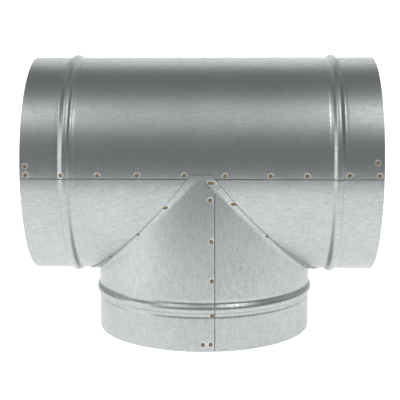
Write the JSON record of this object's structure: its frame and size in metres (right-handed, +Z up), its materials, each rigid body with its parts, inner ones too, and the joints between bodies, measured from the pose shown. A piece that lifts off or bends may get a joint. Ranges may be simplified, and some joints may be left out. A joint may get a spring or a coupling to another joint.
{
  "type": "duct tee",
  "caption": "Equal duct tee of galvanised sheet steel that joins a round branch to a straight run of round duct, with a flared saddle lip and a stop bead near each rim.",
  "frame": {"origin": "centre of the branch's open rim, on the ground that the tee stands on", "axes": "+Z up along the branch's centre line to the run, +X along the run, -Y is the front"},
  "size_m": [0.25, 0.1644, 0.2055],
  "materials": {
    "galvanised_sheet": "satin galvanised coating with rolling streaks"
  },
  "bodies": {
    "root": {"run_top_shell": "galvanised_sheet", "run_bottom_shell": "galvanised_sheet", "branch_collar": "galvanised_sheet"}
  },
  "joints": []
}
